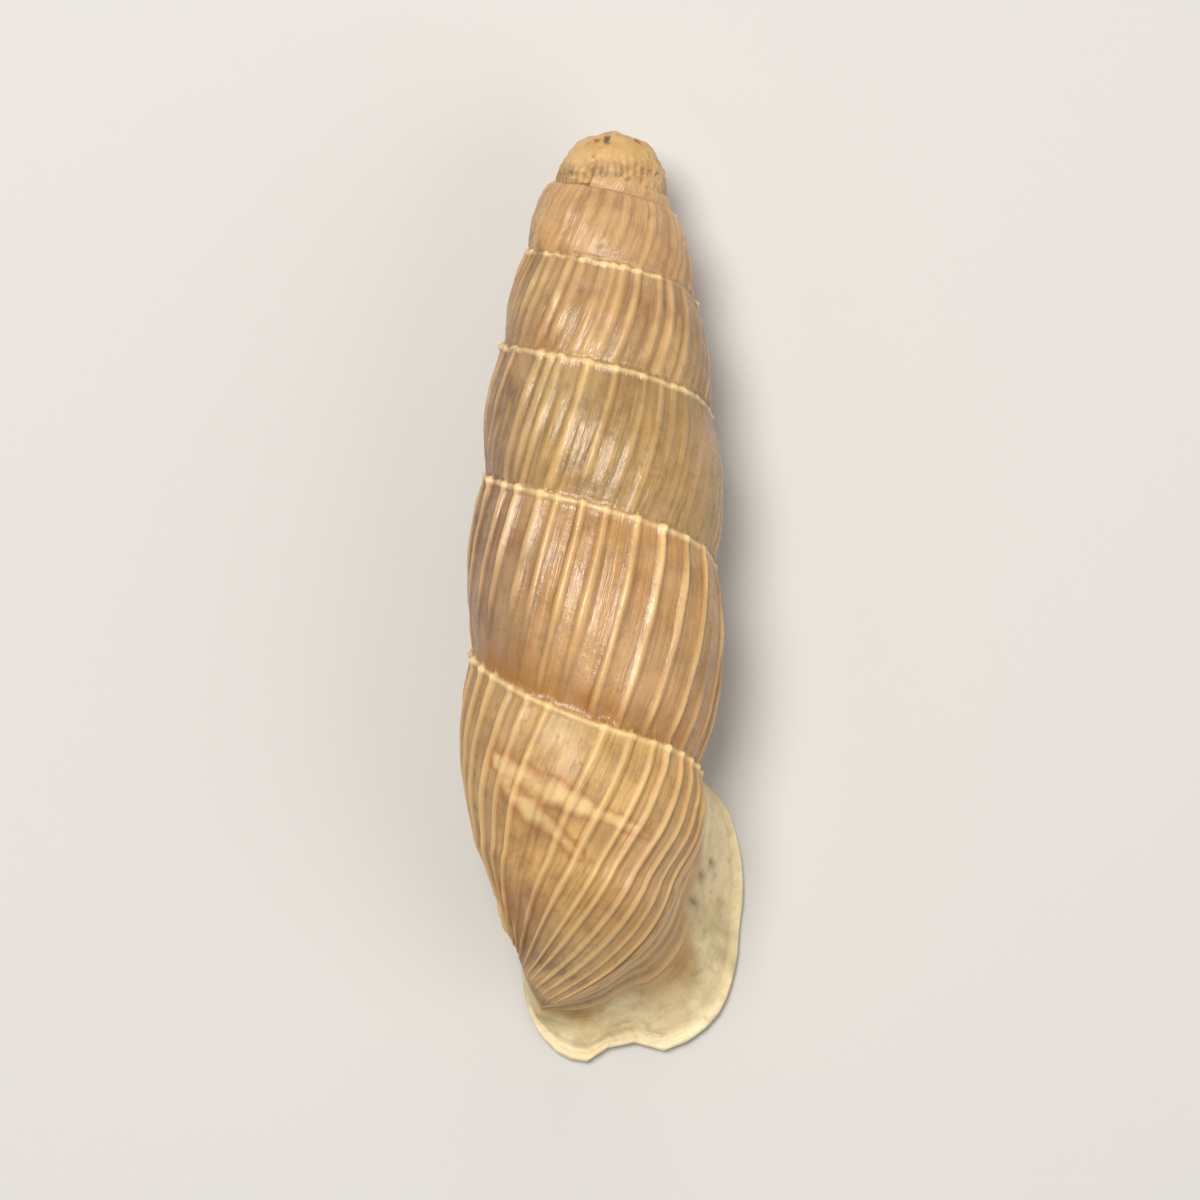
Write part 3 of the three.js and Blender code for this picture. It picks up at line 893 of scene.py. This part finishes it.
@dataclass(frozen=True)
class HornFinish:
    """Waxy, half see-through horn with paler ribs, a white lip and worn, stained places, with painted
    shade in the rib grooves, on the left side and between the folds.
    """

    weathering: bpy.types.NodeTree
    striae: bpy.types.NodeTree

    def colour(self, board: Board, lines: Socket, broad: Socket) -> tuple[Socket, Socket, Socket]:
        """Wire the colour.

        Args:
            board: The material's board.
            lines: Fine lines of growth.
            broad: Broad lines of growth.

        Returns:
            The colour, the weathering's height and its loss of gloss.
        """
        parts = board.node("ShaderNodeSeparateXYZ")
        board.feed(parts.inputs[0], board.node("ShaderNodeUVMap", uv_map="Growth").outputs[0])
        grown, across = parts.outputs[0], parts.outputs[1]
        horn = board.ramp(grown, [
            (0.0, paint(212, 166, 104)), (0.12, paint(198, 152, 92)), (0.26, paint(186, 140, 88)),
            (0.40, paint(180, 144, 88)), (0.56, paint(186, 148, 90)), (0.70, paint(208, 162, 100)),
            (0.90, paint(216, 170, 108))])
        where = board.node("ShaderNodeTexCoord").outputs["Object"]
        mottle = board.ramp(board.noise(where, 1500, 4, 0.62, 0.5),
                            [(0.34, 0.70), (0.5, 1.0), (0.68, 1.22)])
        horn = board.mix(0.8, horn, mottle, "MULTIPLY")
        olive = board.ramp(board.noise(where, 190, 3, 0.5, 0.8), [(0.46, 0.0), (0.64, 0.75)])
        window = board.ramp(grown, [(0.0, 0.3), (0.22, 0.35), (0.34, 0.8), (0.6, 0.85), (0.8, 0.1)])
        horn = board.mix(board.sum("MULTIPLY", olive, window), horn, paint(146, 122, 70))
        plum = board.ramp(board.noise(where, 150, 2, 0.5, 0.4), [(0.5, 0.0), (0.7, 0.6)])
        horn = board.mix(plum, horn, paint(164, 116, 80))
        # Painted shade: a darker mauve brown painted on the shell's left side, weaker near the mouth.
        sides = board.node("ShaderNodeSeparateXYZ")
        board.feed(sides.inputs[0], where)
        left = board.ramp(board.sum("MULTIPLY", sides.outputs[0], -300.0), [(0.44, 0.0), (0.88, 0.9)])
        left = board.sum("MULTIPLY", left, board.ramp(
            grown, [(0.03, 0.1), (0.12, 0.6), (0.24, 1.0), (0.6, 0.7)]))
        horn = board.mix(left, horn, paint(126, 90, 72))
        low = board.ramp(across, [(0.72, 0.0), (0.93, 1.0), (0.99, 1.0), (1.0, 0.0)])
        above_last = board.ramp(grown, [(0.17, 0.0), (0.2, 0.75), (0.28, 0.6), (0.31, 0.1)])
        rust = board.sum("MULTIPLY", board.sum("MULTIPLY", low, above_last),
                         board.ramp(board.noise(where, 260, 2), [(0.35, 0.3), (0.6, 1.0)]))
        horn = board.mix(rust, horn, paint(178, 120, 66))
        shade = board.ramp(lines, [(0.3, 0.72), (0.5, 1.0), (0.72, 1.14)])
        horn = board.mix(0.75, horn, shade, "MULTIPLY")
        shade = board.ramp(broad, [(0.3, 0.78), (0.5, 1.0), (0.7, 1.10)])
        horn = board.mix(0.7, horn, shade, "MULTIPLY")
        worn = board.group(self.weathering, Colour=horn, Cloud=paint(206, 172, 126),
                           Speck=paint(122, 92, 60), Clouding=0.5, Specking=0.3)
        tone = worn.outputs["Colour"]
        # Painted shade between the folds of the last whorl, and dirt in the lip's pits, darken the horn
        # here.
        tone = board.mix(board.sum("MULTIPLY", board.mark(Mark.DIRT_AND_PAINTED_SHADE), 0.75), tone, paint(112, 86, 60))
        fold = board.mark(Mark.FOLD)
        broken = board.ramp(board.noise(where, 900, 3, 0.6), [(0.36, 0.45), (0.6, 1.0)])
        fold = board.sum("MULTIPLY", fold, broken)
        edge = board.ramp(fold, [(0.01, 0.0), (0.18, 0.6), (0.6, 0.0)])
        tone = board.mix(edge, tone, paint(166, 96, 40))
        # Pale folds seen through the wall; on the base's keel this paler colour is partly painted light.
        pale = board.ramp(fold, [(0.12, 0.0), (0.55, 0.65), (0.9, 0.85)])
        tone = board.mix(pale, tone, paint(244, 204, 146))
        # Painted shade in the grooves: the colour darkens on the flanks of each rib.
        groove_painted_shade = board.ramp(board.mark(Mark.CREST), [(0.0, 1.0), (0.12, 0.74), (0.34, 1.0)])
        tone = board.mix(0.8, tone, groove_painted_shade, "MULTIPLY")
        crest = board.ramp(board.mark(Mark.CREST), [(0.25, 0.0), (0.95, 0.85)])
        faded = board.ramp(grown, [(0.3, 1.0), (0.45, 0.75), (0.8, 0.5)])
        crest = board.sum("MULTIPLY", crest, faded)
        tone = board.mix(crest, tone, paint(236, 198, 138))
        honey = board.sum("MULTIPLY", board.mark(Mark.STAIN), 0.9)
        tone = board.mix(honey, tone, paint(158, 108, 38))
        thread = board.ramp(board.mark(Mark.THREAD), [(0.2, 0.0), (0.75, 0.92)])
        tone = board.mix(thread, tone, paint(238, 208, 152))
        return self.lip(board, tone, where), worn.outputs["Height"], worn.outputs["Gloss Loss"]

    def lip(self, board: Board, tone: Socket, where: Socket) -> Socket:
        """Wire the white lip, its stains and the throat over the horn's colour.

        Args:
            board: The material's board.
            tone: The horn's colour.
            where: Object coordinates.

        Returns:
            The whole surface's colour.
        """
        stain = board.ramp(board.noise(where, 300, 3, 0.55, 0.5), [(0.5, 0.0), (0.72, 0.7)])
        white = board.mix(stain, paint(240, 220, 178), paint(208, 180, 122))
        ring = board.ramp(board.noise(where, 1300, 3, 0.6), [(0.62, 0.0), (0.74, 0.5)])
        white = board.mix(ring, white, paint(150, 124, 88))
        grain = board.ramp(board.noise(where, 2400, 5, 0.7, 0.4), [(0.34, 0.78), (0.5, 1.0), (0.66, 1.12)])
        white = board.mix(0.8, white, grain, "MULTIPLY")
        olive = board.sum("MULTIPLY", board.mark(Mark.STAIN), 0.75)
        white = board.mix(olive, white, paint(158, 146, 86))
        pit = board.sum("MULTIPLY", board.mark(Mark.DIRT_AND_PAINTED_SHADE), 0.9)
        white = board.mix(pit, white, paint(104, 76, 48))
        tone = board.mix(board.mark(Mark.LIP), tone, white)
        inner = board.mix(board.noise(where, 260, 2), paint(198, 160, 118), paint(158, 116, 78))
        return board.mix(board.mark(Mark.INSIDE), tone, inner)

    def make(self) -> bpy.types.Material:
        """Return the finished material."""
        material = bpy.data.materials.new("waxy_horn")
        material.use_nodes = True
        board = Board(material.node_tree)
        shader = material.node_tree.nodes["Principled BSDF"]
        lines = board.group(self.striae, Spacing=1400.0, Waver=2.5)
        tone, height, dull = self.colour(board, lines.outputs[0], lines.outputs[1])
        board.feed(shader.inputs["Base Color"], tone)
        where = board.node("ShaderNodeTexCoord").outputs["Object"]
        patch = board.sum("MULTIPLY", board.noise(where, 1800, 3, 0.6), 0.45)
        rough = board.sum("ADD", board.sum("MULTIPLY", lines.outputs[1], 0.15), patch)
        way = board.node("ShaderNodeSeparateXYZ")
        board.feed(way.inputs[0], board.node("ShaderNodeUVMap", uv_map="Growth").outputs[0])
        rough = board.sum("ADD", rough, board.ramp(way.outputs[0], [(0.0, 0.2), (0.15, 0.16), (0.2, 0.0)]))
        board.feed(shader.inputs["Roughness"], board.sum("ADD", rough, dull, True))
        shader.inputs["Specular IOR Level"].default_value = 0.55
        shader.inputs["Subsurface Weight"].default_value = 0.22
        shader.inputs["Subsurface Radius"].default_value = (1.0, 0.55, 0.28)
        shader.inputs["Subsurface Scale"].default_value = 0.0007
        shader.inputs["Coat Weight"].default_value = 0.15
        shader.inputs["Coat Roughness"].default_value = 0.28
        bump = board.node("ShaderNodeBump")
        bump.inputs["Strength"].default_value = 0.5
        bump.inputs["Distance"].default_value = 0.00006
        board.feed(bump.inputs["Height"], board.sum(
            "ADD", board.sum("ADD", lines.outputs[0], lines.outputs[1]),
            board.sum("MULTIPLY", height, 0.5)))
        board.feed(shader.inputs["Normal"], bump.outputs[0])
        return material


@dataclass(frozen=True)
class ChalkFinish:
    """Worn, chalky lime of the plug, creamy orange with dark pits and painted shade in the crevice at its
    foot.
    """

    weathering: bpy.types.NodeTree

    def make(self) -> bpy.types.Material:
        """Return the finished material."""
        material = bpy.data.materials.new("worn_chalk")
        material.use_nodes = True
        board = Board(material.node_tree)
        shader = material.node_tree.nodes["Principled BSDF"]
        worn = board.group(self.weathering, Colour=paint(222, 188, 134), Cloud=paint(192, 146, 82),
                           Speck=paint(120, 84, 50), Clouding=0.9, Specking=0.7)
        # Dark pits, and painted shade in the crevice at the plug's foot.
        tone = board.mix(board.sum("MULTIPLY", board.mark(Mark.DIRT_AND_PAINTED_SHADE), 0.9),
                         worn.outputs["Colour"], paint(92, 64, 44))
        tone = board.mix(board.sum("MULTIPLY", board.mark(Mark.CREST), 0.7), tone, paint(232, 204, 160))
        board.feed(shader.inputs["Base Color"], tone)
        board.feed(shader.inputs["Roughness"], board.sum("ADD", worn.outputs["Gloss Loss"], 0.42, True))
        shader.inputs["Subsurface Weight"].default_value = 0.15
        shader.inputs["Subsurface Radius"].default_value = (1.0, 0.6, 0.35)
        shader.inputs["Subsurface Scale"].default_value = 0.0006
        bump = board.node("ShaderNodeBump")
        bump.inputs["Strength"].default_value = 0.7
        bump.inputs["Distance"].default_value = 0.00008
        board.feed(bump.inputs["Height"], worn.outputs["Height"])
        board.feed(shader.inputs["Normal"], bump.outputs[0])
        return material


@dataclass
class Studio:
    """Pale table, soft lights and a camera looking straight down, in metres unless named."""

    focal_mm: float = 150.0
    frame_mm: float = 32.26
    focus_height: float = 3.6
    aside: float = -0.09
    lamp_colour: tuple[float, float, float] = (1.0, 0.955, 0.88)
    room_colour: tuple[float, float, float, float] = (1.0, 0.98, 0.95, 1.0)
    room_strength: float = 0.22
    table_size: float = 1.5
    lights: tuple[tuple[str, tuple[float, float, float], float, float], ...] = (
        ("key", (-0.06, 0.07, 0.25), 0.12, 0.66),
        ("fill", (0.20, -0.08, 0.17), 0.26, 0.22),
        ("head", (0.03, 0.26, 0.16), 0.22, 0.12))

    def table(self) -> None:
        """Lay the pale table."""
        mesh = bmesh.new()
        bmesh.ops.create_grid(mesh, x_segments=1, y_segments=1, size=self.table_size)
        data = bpy.data.meshes.new("table_top")
        mesh.to_mesh(data)
        mesh.free()
        top = bpy.data.objects.new("table_top", data)
        bpy.context.collection.objects.link(top)
        material = bpy.data.materials.new("pale_table")
        material.use_nodes = True
        shader = material.node_tree.nodes["Principled BSDF"]
        shader.inputs["Base Color"].default_value = paint(208, 208, 208)
        shader.inputs["Roughness"].default_value = 0.75
        data.materials.append(material)

    def light(self) -> None:
        """Hang the soft lights round the shell."""
        for name, spot, size, power in self.lights:
            lamp = bpy.data.lights.new(name, "AREA")
            lamp.shape = "DISK"
            lamp.size = size
            lamp.energy = power
            lamp.color = self.lamp_colour
            hung = bpy.data.objects.new(name, lamp)
            hung.location = spot
            hung.rotation_euler = (-Vector(spot)).to_track_quat("-Z", "Y").to_euler()
            bpy.context.collection.objects.link(hung)
        world = bpy.data.worlds.new("soft_room")
        world.use_nodes = True
        world.node_tree.nodes["Background"].inputs["Color"].default_value = self.room_colour
        world.node_tree.nodes["Background"].inputs["Strength"].default_value = self.room_strength
        bpy.context.scene.world = world
        bpy.context.scene.view_settings.view_transform = "Standard"

    def camera(self, low: Vector, high: Vector) -> None:
        """Hang the camera over the middle of the shell.

        Args:
            low: The object's lowest corner.
            high: Its highest corner.
        """
        lens = bpy.data.cameras.new("camera")
        lens.lens = self.focal_mm
        lens.clip_start = 0.005
        eye = bpy.data.objects.new("camera", lens)
        away = self.frame_mm * MM * self.focal_mm / lens.sensor_width
        middle = (low + high) / 2
        eye.location = (middle.x + self.aside * MM, middle.y, self.focus_height * MM + away)
        bpy.context.collection.objects.link(eye)
        bpy.context.scene.camera = eye


def settle(pieces: Sequence[bpy.types.Object], low: Vector, high: Vector) -> None:
    """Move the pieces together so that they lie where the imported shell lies.

    Args:
        pieces: The pieces, in the shell's own axes.
        low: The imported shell's lowest corner.
        high: Its highest corner.
    """
    corners = [vert.co for piece in pieces for vert in piece.data.vertices]
    least = Vector(min(co[axis] for co in corners) for axis in range(3))
    most = Vector(max(co[axis] for co in corners) for axis in range(3))
    middle, wanted = (least + most) / 2, (low + high) / 2
    shift = Vector((wanted.x - middle.x, wanted.y - middle.y, low.z - least.z))
    for piece in pieces:
        piece.data.transform(Matrix.Translation(shift))


def main() -> None:
    """Build the shell and its plug, dress them and set up the studio."""
    logging.basicConfig(level=logging.INFO, format="%(message)s")
    low, high = (Vector(corner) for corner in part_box(NODE))
    scale = (high.y - low.y) / NOMINAL_LENGTH
    lying = Euler((-LYING_TILT, 0, LYING_TURN), "XYZ").to_matrix().to_4x4()
    place = lying @ Matrix.Scale(scale, 4)
    shell = GrownShell().build(place)
    plug = TipPlug().build(place)
    settle([shell, plug], low, high)
    weathering, striae = weathering_group(), striae_group()
    shell.data.materials.append(HornFinish(weathering, striae).make())
    plug.data.materials.append(ChalkFinish(weathering).make())
    for piece in (shell, plug):
        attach(piece, "root")
        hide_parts(NODE)
        LOG.info("%s: %d faces", piece.name, len(piece.data.polygons))
    studio = Studio()
    studio.table()
    studio.light()
    studio.camera(low, high)


if __name__ == "__main__":
    main()
